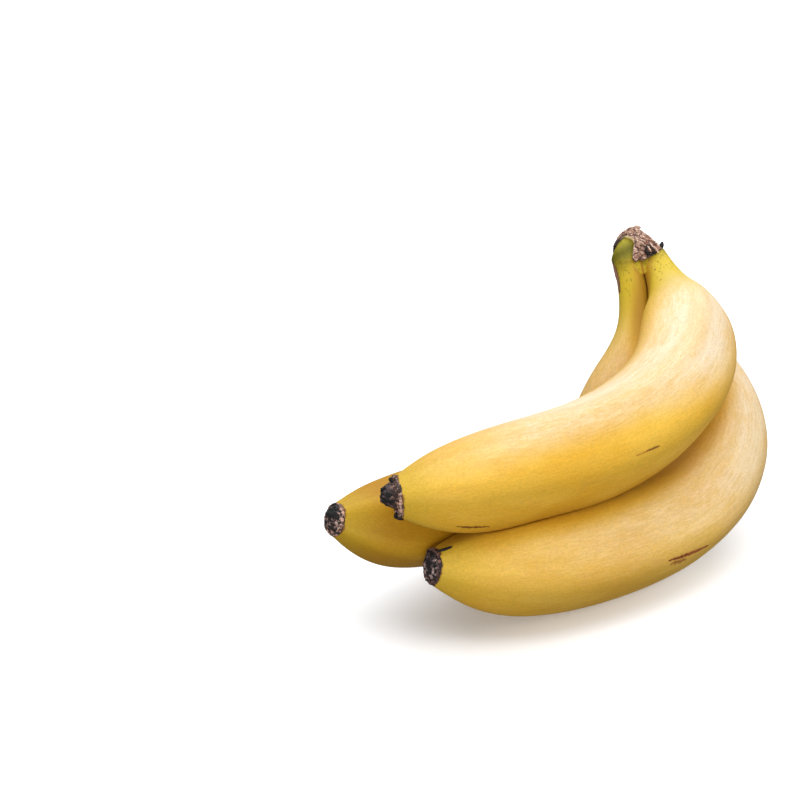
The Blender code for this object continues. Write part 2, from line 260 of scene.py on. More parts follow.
def centre_line(fruit):
    """The fruit's centre line at even lengths, ending on the crown's base plane."""
    points = np.array(fruit["line"]) * MM
    up = unit(CROWN_UP)
    points[-1] += np.dot(np.array(CROWN_BASE) - points[-1], up) * up
    fine = natural_spline(points - np.array(LINE_ZERO), np.linspace(0.0, 1.0, LINE_SAMPLES))
    length = run_along(fine)
    even = np.linspace(0.0, length[-1], LINE_SAMPLES)
    return np.stack([np.interp(even, length, fine[:, i]) for i in range(3)], axis=1)


def girth(fruit, share):
    """A fruit's radius: quick growth from the flower end, full, then the neck and stalk."""
    missing = (1.0 - fruit["tip_share"]) * np.exp(-(share / TIP_LENGTH) ** TIP_POWER)
    fullness = 0.5 * (1.0 - np.tanh((share - fruit["neck_at"]) / fruit["neck_length"]))
    return fruit["radius"] * (1.0 - missing) * (STALK_SHARE + (1.0 - STALK_SHARE) * fullness)


def ridged(angle):
    """A rounded polygon's reach in each direction, with a mean of 1 and a ridge at angle 0.

    It is one over the p-norm of the cosines to the directions that the sides face.
    """
    faces = (np.arange(RIDGES) + 0.5) * TURN / RIDGES
    even = np.linspace(0.0, TURN, 361)[:-1]

    def reach(a):
        cosines = np.maximum(np.cos(a[..., None] - faces), 0.0)
        return (cosines ** RIDGE_SHARPNESS).sum(axis=-1) ** (-1.0 / RIDGE_SHARPNESS)

    return reach(angle) / reach(even).mean()


LINES = {name: centre_line(fruit) for name, fruit in FRUITS.items()}
LENGTHS = {name: np.linalg.norm(np.diff(line, axis=0), axis=1).sum() for name, line in LINES.items()}


def line_axes(name, shares):
    """Centre, direction along the line, outward on the bend, and sideways, at each share.

    Outward is square to the direction and to the fruit's bend axis, which is the mean of
    the turns along the line. At the crown the direction eases into the crown's own.
    """
    line = LINES[name]
    along = unit(np.gradient(line, axis=0))
    bend_axis = unit(np.cross(along[:-1], along[1:]).sum(axis=0))
    centre = at_shares(line, shares)
    turning = ease(CROWN_TURN_FROM, 1.0, shares)[:, None]
    along = unit(unit(at_shares(along, shares)) * (1.0 - turning) + unit(CROWN_UP) * turning)
    outward = unit(np.cross(along, bend_axis))
    return centre, along, outward, np.cross(along, outward)


def outside(points, centre, name):
    """How far each point is outside a round fruit: to its line, less the radius there.

    Each ring of points looks at the stretch of the line round the place nearest its centre.
    """
    line = LINES[name]
    radii = girth(FRUITS[name], np.linspace(0.0, 1.0, LINE_SAMPLES))
    away = np.linalg.norm(centre[:, None, :] - line[None, :, :], axis=-1) - radii
    closest = away.argmin(axis=1)
    nearest = np.full(points.shape[:-1], np.inf)
    for step in range(-PRESS_REACH, PRESS_REACH + 1, 2):
        k = (closest + step).clip(0, LINE_SAMPLES - 1)
        found = np.linalg.norm(points - line[k][:, None, :], axis=-1) - radii[k][:, None]
        nearest = np.minimum(nearest, found)
    return nearest


def turned_round(angles, first, second):
    """Rays at angles round each ring, from its first to its second sideways direction."""
    return (np.cos(angles)[None, :, None] * first[:, None, :]
            + np.sin(angles)[None, :, None] * second[:, None, :])


def straightened(name, shares, angles, reach):
    """Places on the straightened fruit, in millimetres: two across it and one along it."""
    first = reach * np.cos(angles)
    along = np.broadcast_to(shares[:, None] * LENGTHS[name], first.shape)
    return np.stack([first, reach * np.sin(angles), along], axis=-1) / MM


def peel_relief(place, seed):
    """Slow swells, small dents and faint lengthwise fibres on a peel, in millimetres."""
    return sum(height * noise(place / size, seed + k) for k, (height, size) in enumerate(PEEL_RELIEF))


def peel_surface(name, shares, angles, seed):
    """Grid of points on a peel, rings by angles round the line from the outward side.

    A ring is the ridged outline times the girth, plus relief, and the ridges twist slowly.
    A point that would come nearer to another fruit than half the gap is drawn back towards
    its own line, and a point under the table is drawn back to it. Returns the points, the
    places on the straightened round fruit, and how close each point is to a ridge and to a
    neighbouring fruit, from 0 to 1. The closeness to a neighbour is used for painted crease shade.
    """
    fruit = FRUITS[name]
    centre, _, outward, sideways = line_axes(name, shares)
    ridge = np.radians(fruit["ridge_from"] + fruit["ridge_twist"] * shares)
    depth = RIDGE_DEPTH + (STALK_RIDGE_DEPTH - RIDGE_DEPTH) * ease(*STALK_RIDGE_SHARES, shares)
    round_girth = girth(fruit, shares)[:, None]
    polygon = ridged(angles - ridge[:, None])
    reach = round_girth * (1.0 + depth[:, None] * (polygon - 1.0))
    place = straightened(name, shares, angles, round_girth)
    reach = reach + MM * peel_relief(place, seed) * ease(0.0, RELIEF_START, shares)[:, None]
    ray = turned_round(angles, outward, sideways)
    pressed = np.zeros(reach.shape)
    for other in FRUITS:
        if other == name:
            continue
        for _ in range(PRESS_STEPS):
            points = centre[:, None, :] + reach[..., None] * ray
            away = outside(points, centre, other)
            reach = reach - 0.5 * np.maximum((reach - round_girth) - away + GAP, 0.0)
        # Painted crease shade: none 12 mm from a neighbour, full half a millimetre from it
        pressed = np.maximum(pressed, ease(CREASE_SHADE_FROM, CREASE_SHADE_FULL, away))
    down = np.minimum(ray[..., 2], -1e-6)
    reach = np.minimum(reach, centre[:, None, 2] / -down)
    closeness = ease(*RIDGE_TINT_REACH, polygon)
    return centre[:, None, :] + reach[..., None] * ray, place, closeness, pressed


def crown_axes():
    """The crown's front, right and up directions, as rows, each square to the others."""
    up = unit(CROWN_UP)
    front = np.array(CROWN_FRONT)
    front = unit(front - np.dot(front, up) * up)
    return np.array([front, np.cross(up, front), up])


CROWN_AXES = crown_axes()
CROWN_ORIGIN = np.array(CROWN_BASE) - np.array(LINE_ZERO)
HEART = np.array(CROWN_HEART) * MM

# The crown's skin: its grid, the skirt that sinks into the stalks' peels, and the search
# for its surface along each ray
CROWN_RINGS = 120
CROWN_SIDES = 180
CROWN_SKIRT = 7.0 * MM
SKIRT_DIP = 0.7 * MM
CROWN_FAR = 30.0 * MM
HALVINGS = 18
# Painted shade in its grooves between two stalks, and its wrinkles' heights and sizes in millimetres
GROOVE_SHADE_REACH = (0.30, 0.62)
WRINKLE = (0.16, (2.4, 2.4, 5.0))
FINE_WRINKLE = (0.07, 1.1)
WRINKLED_FROM = (-6.0, -1.0)
# A stalk's spine: where it starts along the fruit, and its balls below and above the base
SPINE_FROM = 0.93
SPINE_BELOW = 26
SPINE_ABOVE = 14
# The dried crust: its grid, its pebbles' size, how deep it roots, and its torn rim's share
CRUST_RINGS = 105
CRUST_SIDES = 320
CRUST_CELL = 1.05
CRUST_ROOT = 0.25 * MM
CRUST_RIM = 0.05
# Relief of dried tissue, in millimetres: how much and how often its cells bend, the gaps
# between pebbles, and the heights of pebbles, cracks, tones and broad lumps
CELL_BEND = 0.45
BEND_SIZE = 1.1
CRACK_GAPS = (0.02, 0.26)
PEBBLE_HEIGHT = 0.42
CRACK_DEPTH = 0.24
TONE_HEIGHT = 0.20
LUMP_HEIGHT = 0.30
LUMP_SIZE = 2.6
# Down the crust's right slope its pebbles are drawn out: how much, and the slope's direction
GRAIN_SQUEEZE = 0.45
GRAIN_RIGHT = 0.58
GRAIN_DOWN = 0.81
# Along the crust's edge, degrees round it and shares out to it: where it is charred and creamy
LEFT_CHAR = {"from": (-30.0, -12.0), "to": (6.0, -2.0), "out": (0.80, 0.90)}
CREAM_SKIN = {"from": (-4.0, 4.0), "to": (40.0, 30.0), "out": (0.93, 0.97)}
# Charred places on the crust, with their reach, and curls of fibre, with their thickness
# and how charred they are: along the crown's axes, in millimetres
CHARRED = [((9.6, 2.2, -1.2), 1.0), ((9.2, 4.8, -1.6), 1.3), ((5.4, 8.6, 1.2), 1.0)]
CURLS = [
    ([(9.4, 2.0, 2.6), (10.6, 2.6, 1.2), (10.7, 1.4, -0.4), (9.6, 1.9, -1.9)], 0.36, 1.0),
    ([(9.6, 1.2, 0.2), (10.9, 2.2, -1.0), (10.6, 3.0, -2.4), (9.6, 4.0, -0.9)], 0.34, 1.0),
    ([(9.4, 3.0, 2.6), (10.4, 4.1, 1.2), (10.1, 4.6, -0.9), (8.8, 4.8, -2.3)], 0.36, 0.9),
    ([(9.6, 3.6, 2.4), (10.3, 3.4, 0.6), (10.3, 3.6, -1.0)], 0.34, 0.0),
    ([(8.8, 4.8, 1.6), (9.5, 5.6, -0.4), (8.6, 6.0, -2.4)], 0.36, 0.0),
    ([(5.8, 1.6, 11.3), (6.0, 3.0, 12.2), (6.0, 4.6, 11.2)], 0.70, 0.3),
    ([(5.0, 7.2, 0.4), (5.0, 8.5, 1.2), (5.0, 9.6, 2.6)], 0.85, 1.0),
]
# A strand's grid
STRAND_RINGS = 26
STRAND_SIDES = 12
# A strand's blunt ends, its uneven thickness, and where its first side leans
STRAND_BLUNT = 0.12
STRAND_UNEVEN = 0.25
STRAND_SIDEWAYS = (0.31, 0.53, 0.79)
# The crust's torn edge: how often it tears, and by what share of its reach
TEAR_TURNS = 4.5
TEAR_DEPTH = 0.035
# Seeds of the noise on the crown, the crust and the strands
CROWN_SEED = 51
CRUST_EDGE_SEED = 61
CRUST_SEED = 70
CHAR_SEED = 76
STRAND_SEED = 140


def to_crown(points):
    """Points of the bunch's frame, along the crown's own axes."""
    return (points - CROWN_ORIGIN) @ CROWN_AXES.T


def to_world(local):
    """Points given along the crown's own axes, in the bunch's frame."""
    return CROWN_ORIGIN + local @ CROWN_AXES


def stalk_spine(name, dip):
    """Centres and radii from down the stalk, through the crown's base, up into the crown.

    Below the base they are the fruit's own, and dip thins them towards the lower end, so
    that the crown's skin sinks into the peel there.
    """
    shares = np.linspace(SPINE_FROM, 1.0, SPINE_BELOW)
    below = to_crown(at_shares(LINES[name], shares))
    thinner = dip * ease(-0.4 * CROWN_SKIRT, -CROWN_SKIRT, below[:, 2])
    top = STALK_TOPS[name]
    rise = np.linspace(0.0, 1.0, SPINE_ABOVE + 1)[1:, None]
    above = below[-1] + rise * (np.array(top["to"]) * MM - below[-1])
    end_radius = girth(FRUITS[name], 1.0)
    radii_above = end_radius + (top["radius"] - end_radius) * rise[:, 0]
    radii = np.concatenate([girth(FRUITS[name], shares) - thinner, radii_above])
    return np.concatenate([below, above]), radii


def outside_stalk(points, name, dip):
    """How far each point, along the crown's axes, is outside the balls of one stalk's spine."""
    nearest = np.full(points.shape[:-1], np.inf)
    for centre, radius in zip(*stalk_spine(name, dip)):
        nearest = np.minimum(nearest, np.linalg.norm(points - centre, axis=-1) - radius)
    return nearest


def crown_outside(points, dip):
    """How far each point, along the crown's axes, is outside its stalks, merged together.

    The stalks are merged by the logarithm of the sum of their exponentials.
    """
    total = np.zeros(points.shape[:-1])
    for name in STALK_TOPS:
        total += np.exp(-outside_stalk(points, name, dip) / STALK_MERGE)
    return -STALK_MERGE * np.log(total)


def stalk_overlap(points):
    """How alike the nearest stalks are in distance: 0 by one stalk, log 2 between two."""
    away = np.array([outside_stalk(points, name, 0.0) for name in STALK_TOPS])
    return np.log(np.exp((away.min(axis=0) - away) / STALK_MERGE).sum(axis=0))


def crown_reach(rays, base, dip=0.0):
    """The distance from the crown's heart to its surface along each ray, by halving.

    The merged stalks and the cut faces meet in rounded edges, by the logarithm of the sum
    of the exponentials of their depths. The base is flat, at its height over the stalks.
    """
    low = np.zeros(rays.shape[:-1])
    high = np.full(rays.shape[:-1], CROWN_FAR)
    for _ in range(HALVINGS):
        middle = 0.5 * (low + high)
        points = HEART + middle[..., None] * rays
        swell = np.exp(crown_outside(points, dip) / CUT_ROUNDING)
        for normal, distance in CROWN_CUTS:
            swell = swell + np.exp((points @ unit(normal) - distance) / CUT_ROUNDING)
        depth = np.maximum(CUT_ROUNDING * np.log(swell), base - points[..., 2])
        low = np.where(depth < 0.0, middle, low)
        high = np.where(depth < 0.0, high, middle)
    return low


def crown_rays(pole, polar, azimuth):
    """Directions at polar angles from a pole and at azimuths round it, grid by grid."""
    pole = unit(pole)
    side = (0.0, 1.0, 0.0) if pole[2] > 0.99 else (0.0, 0.0, 1.0)
    first = unit(np.cross(pole, side))
    second = np.cross(pole, first)
    round_it = np.cos(azimuth)[:, None] * first + np.sin(azimuth)[:, None] * second
    return np.cos(polar)[..., None] * pole + np.sin(polar)[..., None] * round_it[None, :, :]


def loft_faces(count, sides):
    """Faces of rings joined in order, with a fan at each end, as quads and triangles."""
    first = np.arange(sides)
    after = (first + 1) % sides
    base = (np.arange(count - 1) * sides)[:, None]
    quads = np.stack([base + first, base + after, base + sides + after, base + sides + first],
                     axis=-1).reshape(-1, 4)
    start = np.full(sides, count * sides)
    far = (count - 1) * sides
    fans = np.concatenate([np.stack([start, after, first], axis=-1),
                           np.stack([start + 1, far + first, far + after], axis=-1)])
    return quads.tolist() + fans.tolist()


class Piece:
    """Rings of points, and values at them, gathered into one closed mesh."""

    def __init__(self):
        self.points = []
        self.faces = []
        self.values = {}
        self.count = 0

    def add(self, rings, **values):
        """Add a closed loft. Each of its two poles is the mean of the ring beside it."""
        poles = [rings[0].mean(axis=0), rings[-1].mean(axis=0)]
        self.points.append(np.concatenate([rings.reshape(-1, 3), poles]))
        self.faces += [[i + self.count for i in face] for face in loft_faces(*rings.shape[:2])]
        self.count += rings.shape[0] * rings.shape[1] + 2
        for key, value in values.items():
            value = np.broadcast_to(value, rings.shape[:2] + np.shape(value)[2:])
            ends = np.stack([value[0].mean(axis=0), value[-1].mean(axis=0)])
            flat = value.reshape((-1,) + value.shape[2:])
            self.values.setdefault(key, []).append(np.concatenate([flat, ends]))

    def build(self, name, material, solid):
        """Make the object: it rides on the bunch and stands for the given solid."""
        mesh = bpy.data.meshes.new(name)
        mesh.from_pydata(np.concatenate(self.points).tolist(), [], self.faces)
        mesh.shade_smooth()
        for key, values in self.values.items():
            values = np.concatenate(values).astype(np.float32)
            kind, field = ("FLOAT_VECTOR", "vector") if values.ndim > 1 else ("FLOAT", "value")
            mesh.attributes.new(key, kind, "POINT").data.foreach_set(field, values.ravel())
        mesh.materials.append(material)
        piece = bpy.data.objects.new(name, mesh)
        bpy.context.scene.collection.objects.link(piece)
        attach(piece, "root")
        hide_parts(solid)


# Peels
# Where a peel has its pale cream, partly a waxy film and partly a painted highlight on the
# flanks that face the lamps: share of the length, amount, and in degrees the angle round
# the fruit that it lies on and how far it reaches to each side of that
BLOOM_AND_HIGHLIGHT = {
    "top": [(0.02, 0.05, 262, 66), (0.12, 0.25, 262, 66), (0.25, 0.88, 250, 68),
            (0.45, 0.95, 252, 66), (0.55, 0.95, 258, 82), (0.65, 0.98, 275, 97),
            (0.76, 1.10, 282, 90), (0.86, 1.05, 284, 88), (1.0, 0.9, 295, 80)],
    "front": [(0.04, 0.02, 280, 80), (0.15, 0.17, 282, 80), (0.35, 0.42, 278, 80),
              (0.45, 0.48, 276, 84), (0.56, 0.62, 280, 130), (0.66, 0.78, 285, 170),
              (0.78, 0.92, 290, 170), (1.0, 0.6, 290, 170)],
    "back": [(0.40, 0.0, 200, 120), (0.60, 0.45, 200, 120), (0.86, 0.40, 190, 100),
             (0.97, 0.0, 180, 80)],
}
# The rolled lip round a flower end: share of the tip's radius, and how many millimetres it
# stands out
TIP_LIP = [(0.60, -0.9), (0.86, -0.5), (0.95, 0.0), (0.985, 0.12)]
PEEL_SEEDS = {"top": 11, "front": 23, "back": 37}


def bloom_and_highlight_amount(name, shares, angles):
    """The amount of pale waxy film and painted highlight over a peel: a smooth step across it and
    straight steps along it.
    """
    at, amount, middle, reach = np.array(BLOOM_AND_HIGHLIGHT[name], float).T
    amount, middle, reach = (np.interp(shares, at, row)[:, None] for row in (amount, middle, reach))
    off_middle = np.abs(signed(np.degrees(angles) - middle))
    return amount * ease(1.0, 0.1, off_middle / reach)


def peel_piece(name, material):
    """A whole peel, with a rolled lip at the flower end, closed under the crown's skin."""
    even = np.linspace(0.0, 1.0, PEEL_RINGS)
    shares = TIP_START + (1.0 - TIP_START) * (even - RING_CROWDING * np.sin(TURN * even))
    angles = np.arange(PEEL_SIDES) * TURN / PEEL_SIDES
    rings, place, ridge, pressed = peel_surface(name, shares, angles, PEEL_SEEDS[name])
    centre, along, _, _ = line_axes(name, shares[:1])
    lip = np.array(TIP_LIP)
    lip_rings = (centre[0] + lip[:, 0, None, None] * (rings[0] - centre[0])
                 - lip[:, 1, None, None] * MM * along[0])
    lip_place = place[:1] - lip[:, 1, None, None] * (0.0, 0.0, 1.0)
    rings = np.concatenate([lip_rings, rings])
    place = np.concatenate([lip_place, place])
    # Pale cream: partly a waxy film, partly a painted highlight on the flanks facing the lamps
    bloom = bloom_and_highlight_amount(name, shares, angles)
    ridge, pressed, bloom = (np.concatenate([np.repeat(value[:1], len(lip), axis=0), value])
                             for value in (ridge, pressed, bloom))
    share = np.concatenate([np.full(len(lip), TIP_START), shares])[:, None]
    piece = Piece()
    piece.add(rings, place=place, ridge=ridge, pressed=pressed, bloom=bloom, share=share,
              crown_up=to_crown(rings)[..., 2] / MM)
    piece.build("peel_" + name, material, "fruit_" + name)


# Crown
def crown_piece(material):
    """The crown's living skin: the merged stalks seen from the heart, faintly wrinkled, with a mask for
    painted shade in the grooves between them.
    """
    polar = (np.arange(CROWN_RINGS) + 0.6) * math.pi / (CROWN_RINGS + 0.2)
    azimuth = np.arange(CROWN_SIDES) * TURN / CROWN_SIDES
    rays = crown_rays((0.0, 0.0, 1.0), np.repeat(polar[::-1, None], CROWN_SIDES, axis=1), azimuth)
    reach = crown_reach(rays, -CROWN_SKIRT, SKIRT_DIP)
    local = HEART + reach[..., None] * rays
    # Painted groove shade where two stalks are about as near as each other
    grooved = ease(*GROOVE_SHADE_REACH, stalk_overlap(local))
    height, size = WRINKLE
    fine_height, fine_size = FINE_WRINKLE
    wrinkle = height * noise(local / MM / size, CROWN_SEED)
    wrinkle = wrinkle + fine_height * rough(local / MM / fine_size, CROWN_SEED + 1, 3)
    local = local + (wrinkle * ease(*WRINKLED_FROM, local[..., 2] / MM) * MM)[..., None] * rays
    piece = Piece()
    piece.add(to_world(local), crown_up=local[..., 2] / MM, grooved=grooved)
    piece.build("crown_skin", material, "crown")


def crust_relief(place, seed):
    """Height of dried tissue in millimetres: domed pebbles, cracks between, broad lumps.

    Also gives, from 0 to 1, how deep each place is in a crack and its pebble's tone.
    """
    bend = np.stack([noise(place / BEND_SIZE, seed + k) for k in range(3)], axis=-1)
    nearest, second, tone = pebbles((place + CELL_BEND * bend) / CRUST_CELL, seed + 3)
    crack = 1.0 - ease(*CRACK_GAPS, second - nearest)
    knob = np.clip(1.0 - nearest ** 2, 0.0, 1.0)
    height = PEBBLE_HEIGHT * knob - CRACK_DEPTH * crack + TONE_HEIGHT * (tone - 0.5)
    return height + LUMP_HEIGHT * rough(place / LUMP_SIZE, seed + 4, 4), crack, tone


def on_edge(patch, way, share):
    """How much each place of the crust, out from its middle, lies in a patch of its edge."""
    round_it = ease(*patch["from"], way) * ease(*patch["to"], way)
    return round_it * ease(*patch["out"], share)[:, None]


def strand(spots, thick):
    """Rings of a thin bent strand through the given spots, tapering towards both ends."""
    share = np.linspace(0.0, 1.0, STRAND_RINGS)
    path = natural_spline(spots, share)
    along = unit(np.gradient(path, axis=0))
    side = unit(np.cross(along, unit(path[-1] - path[0]) + STRAND_SIDEWAYS))
    other = np.cross(along, side)
    angles = np.arange(STRAND_SIDES) * TURN / STRAND_SIDES
    radius = thick * (STRAND_BLUNT + np.sqrt(np.sin(math.pi * (0.02 + 0.96 * share))))
    radius = radius * (1.0 + STRAND_UNEVEN * noise(path / (0.8 * thick), STRAND_SEED))
    return path[:, None, :] + radius[:, None, None] * turned_round(angles, side, other)


def crust_piece(material):
    """The dried crust over the crown's cut: a shell, thinner and torn at its edge.

    Its pebbles are drawn out down its right slope. It is charred near the given spots and
    along its left edge, creamy skin lines its edge beside that, and curls of torn fibre,
    most of them charred, stand on it.
    """
    azimuth = np.arange(CRUST_SIDES) * TURN / CRUST_SIDES
    share = (np.arange(CRUST_RINGS) + 1.0) / CRUST_RINGS
    edge_azimuth, edge_polar = np.radians(np.array(CUT_EDGE, float)).T
    edge = np.interp(azimuth, edge_azimuth, edge_polar, period=TURN)
    tear = TEAR_TURNS * np.stack([np.cos(azimuth), np.sin(azimuth), 0.0 * azimuth], axis=-1)
    edge = edge * (1.0 + TEAR_DEPTH * rough(tear, CRUST_EDGE_SEED, 3))
    rays = crown_rays(CUT_FACING, share[:, None] * edge[None, :], azimuth)
    skin = crown_reach(rays, -STALK_RUN)
    thick = CUT_EDGE_THICK + (CUT_THICK - CUT_EDGE_THICK) * (1.0 - share ** 4)[:, None]
    local = HEART + (skin + CUT_LIFT + thick)[..., None] * rays
    local[..., 2] = np.maximum(local[..., 2], CUT_LOWEST)
    front, right, up = np.moveaxis(local, -1, 0)
    grain_way = np.stack([front, GRAIN_SQUEEZE * (GRAIN_RIGHT * right - GRAIN_DOWN * up),
                          GRAIN_DOWN * right + GRAIN_RIGHT * up], axis=-1)
    height, crack, tone = crust_relief(grain_way / MM, CRUST_SEED)
    char = np.zeros(crack.shape)
    for spot, reach in CHARRED:
        off = np.linalg.norm(local / MM - spot, axis=-1) + 0.8 * noise(local / MM / 1.5, CHAR_SEED)
        char = np.maximum(char, ease(reach, 0.45 * reach, off))
    way = signed(np.degrees(azimuth))
    char = np.maximum(char, on_edge(LEFT_CHAR, way, share))
    cream = on_edge(CREAM_SKIN, way, share)
    outer = local + (height * MM * (1.0 - 0.5 * share[:, None] ** 6))[..., None] * rays
    inner = HEART + (skin - CRUST_ROOT)[..., None] * rays
    inner[..., 2] = np.maximum(inner[..., 2], CUT_LOWEST)
    torn = np.broadcast_to(ease(1.0 - CRUST_RIM, 1.0, share)[:, None], crack.shape) - cream
    piece = Piece()
    inside_rings = len(inner[::8]) + 2
    rings = np.concatenate([inner[::8], inner[-1:], 0.5 * (inner[-1:] + outer[-1:]), outer[::-1]])
    values = dict(crack=crack, tone=tone, torn=torn, char=char, cream=cream)
    piece.add(to_world(rings), **{
        key: np.concatenate([np.repeat(value[-1:], inside_rings, axis=0), value[::-1]])
        for key, value in values.items()})
    for spots, thick, burnt in CURLS:
        curl = to_world(strand(np.array(spots) * MM, thick * MM))
        piece.add(curl, crack=0.0, tone=1.0 - burnt, torn=0.0, char=burnt, cream=0.0)
    piece.build("dried_crust", material, "crown_cut")


# Withered flower ends
END_RINGS = 90
END_SIDES = 170
# From under the peel's lip, over the rim and across: share of the tip's radius, and height
# in millimetres
END_PROFILE = [(0.90, -0.7), (0.99, -0.4), (1.03, 0.15), (1.01, 0.8), (0.95, 1.15), (0.89, 0.9),
               (0.85, 0.3), (0.79, 0.35), (0.66, 1.1), (0.50, 1.7), (0.25, 2.2), (0.04, 2.4)]
END_SEEDS = {"top": 81, "front": 91, "back": 101}
# A tip's radius in millimetres, for spacing its rings evenly
END_REACH = 7.0
# The torn rim's share of the tip's radius, and in millimetres how high and how often it tears
RIM_FROM = (0.86, 0.94)
RIM_TEAR = 0.35
RIM_TEAR_SIZE = 2.2
# From this height on the profile the outer relief is whole
UPPER_FROM = (-0.4, 0.3)
SCAR_RELIEF = 0.9
RIM_RELIEF = 0.35
# The lump's steepness and cragginess, and how far jags push places sideways, in millimetres
LUMP_STEEPNESS = 6
CRAG_SIZE = 1.3
CRAG_SHARE = 0.3
JAG_REACH = 0.35
RIM_JAG_SHARE = 0.35


def end_axes(name):
    """The tip's centre, its outward direction, and its up and sideways directions."""
    centre, along, _, _ = line_axes(name, np.array([TIP_START]))
    away = -along[0]
    up = unit(np.array([0.0, 0.0, 1.0]) - away[2] * away)
    return centre[0], away, up, np.cross(up, away)


def end_piece(name, material):
    """A withered flower end: a torn rim round a domed, pebbled scar with a lump and strands."""
    fruit = FRUITS[name]
    lump = fruit["lump"]
    seed = END_SEEDS[name]
    centre, away, up, across = end_axes(name)
    profile = np.array(END_PROFILE)
    run = run_along(profile * (END_REACH, 1.0))
    even = np.linspace(0.0, run[-1], END_RINGS)
    spread = np.interp(even, run, profile[:, 0])[:, None]
    rise = np.interp(even, run, profile[:, 1])[:, None]
    angles = np.arange(END_SIDES) * TURN / END_SIDES
    radius = girth(fruit, TIP_START)
    high = radius * spread * np.cos(angles)
    wide = -radius * spread * np.sin(angles)
    flat = np.stack([high / MM, wide / MM, np.broadcast_to(rise, high.shape)], axis=-1)
    rim = ease(*RIM_FROM, spread)
    torn = RIM_TEAR * rough(flat / RIM_TEAR_SIZE, seed, 3) * rim
    height, crack, tone = crust_relief(flat, seed + 5)
    upper = ease(*UPPER_FROM, rise)
    inside = 1.0 - rim
    off_lump = np.hypot(high - lump["up"], wide) / lump["radius"]
    hump = lump["height"] / MM * np.exp(-off_lump ** LUMP_STEEPNESS)
    craggy = 1.0 + CRAG_SHARE * rough(flat / CRAG_SIZE, seed + 9, 3)
    relief = SCAR_RELIEF * height * inside + RIM_RELIEF * height * rim
    tall = rise + torn + upper * (relief + inside * hump * craggy)
    jag = JAG_REACH * np.stack([rough(flat / CRAG_SIZE, seed + 20 + k, 3) for k in range(2)], axis=-1)
    jag = jag * upper[..., None] * (RIM_JAG_SHARE + (1.0 - RIM_JAG_SHARE) * inside[..., None])
    high = high + jag[..., 0] * MM
    wide = wide + jag[..., 1] * MM
    rings = centre + (tall * MM)[..., None] * away + high[..., None] * up + wide[..., None] * across
    burnt = ease(0.15, 0.7, hump / (lump["height"] / MM) + 0.25 * rough(flat / 1.5, seed + 30, 3))
    piece = Piece()
    below = ease(-0.25, -0.85, high / radius)
    piece.add(rings, crack=crack, tone=tone, rim=rim, burnt=burnt, below=below)
    for spots, thick in fruit.get("strands", []):
        spots = np.array(spots) * MM
        path = centre + spots[:, :1] * up + spots[:, 1:2] * across + spots[:, 2:] * away
        piece.add(strand(path, thick * MM), crack=0.0, tone=0.0, rim=0.0, burnt=1.0, below=0.0)
    piece.build("withered_end_" + name, material, "flower_end_" + name)


# Materials
def linear(red, green, blue):
    """A colour given as a screen shows it, from 0 to 255, in linear light."""
    shown = np.array([red, green, blue]) / 255.0
    light = np.where(shown <= 0.04045, shown / 12.92, ((shown + 0.055) / 1.055) ** 2.4)
    return (*light.tolist(), 1.0)


# Living skin
DEEP_YELLOW = linear(226, 172, 48)
LIGHT_YELLOW = linear(238, 191, 70)
# Pale cream, partly a waxy film and partly a painted highlight
CREAM_BLOOM_AND_HIGHLIGHT = linear(240, 219, 186)
TAN = linear(220, 164, 80)
# Deeper golden tone of painted shade
SHADE_GOLD = linear(180, 130, 14)
RIDGE_OCHRE = linear(206, 158, 44)
TIP_YELLOW = linear(204, 174, 46)
NECK_YELLOW = linear(206, 178, 46)
CROWN_GREEN = linear(102, 97, 10)
CROWN_TOP_GREEN = linear(198, 184, 60)
OLIVE = linear(124, 114, 30)
NECK_SHADE_BROWN = linear(164, 106, 32)
# Painted shade in the crease between the necks
GROOVE_SHADE_BROWN = linear(150, 96, 28)
# Painted shade in the grooves between the crown's stalks
CROWN_BROWN = linear(120, 92, 38)
TIP_EDGE_BROWN = linear(112, 70, 38)
# Scuffs
BROWN = linear(104, 52, 20)
RUST = linear(152, 74, 30)
SCAR_EDGE = linear(66, 40, 28)
SCAR_PINK = linear(168, 122, 100)
# Dried tissue
CRUST_DARK = linear(156, 106, 84)
CRUST_LIGHT = linear(248, 212, 188)
CRUST_PATCH = linear(140, 92, 76)
CRUST_CRACK = linear(70, 40, 34)
CRUST_EDGE = linear(58, 36, 32)
CRUST_CREAM = linear(232, 212, 150)
CHAR_DARK = linear(22, 16, 18)
CHAR_LIGHT = linear(96, 80, 84)
END_CRACK = linear(16, 10, 11)
END_BLACK = linear(9, 7, 8)
END_GREY = linear(96, 78, 80)
# Each withered end's torn rim, light pebbles and dark pebbles
END_TINTS = {
    "top": (linear(232, 186, 162), linear(196, 150, 130), linear(78, 50, 44)),
    "front": (linear(150, 108, 100), linear(222, 190, 184), linear(30, 18, 20)),
    "back": (linear(240, 190, 166), linear(228, 190, 176), linear(30, 18, 18)),
}
# Stage
WHITE = (1.0, 1.0, 1.0, 1.0)
FLOOR_DIM = (0.84, 0.85, 0.87, 1.0)
FLOOR_LIGHT = (0.88, 0.89, 0.91, 1.0)
# Warm tint of the floor's painted shadow
FLOOR_SHADOW_WARMTH = (1.0, 0.92, 0.84, 1.0)
# How strongly the floor glows, and how it does at the middle of an oval under the bunch, where a
# weaker, warmer glow paints its shadow
FLOOR_GLOWS = (0.30, 0.14)
SHADOW_OVAL_MIDDLE = (-4.0 * MM, -56.0 * MM, 0.0)
SHADOW_OVAL_TURN = (0.0, 0.0, math.radians(30.0))
SHADOW_OVAL_REACH = (86.0 * MM, 44.0 * MM, 1.0)


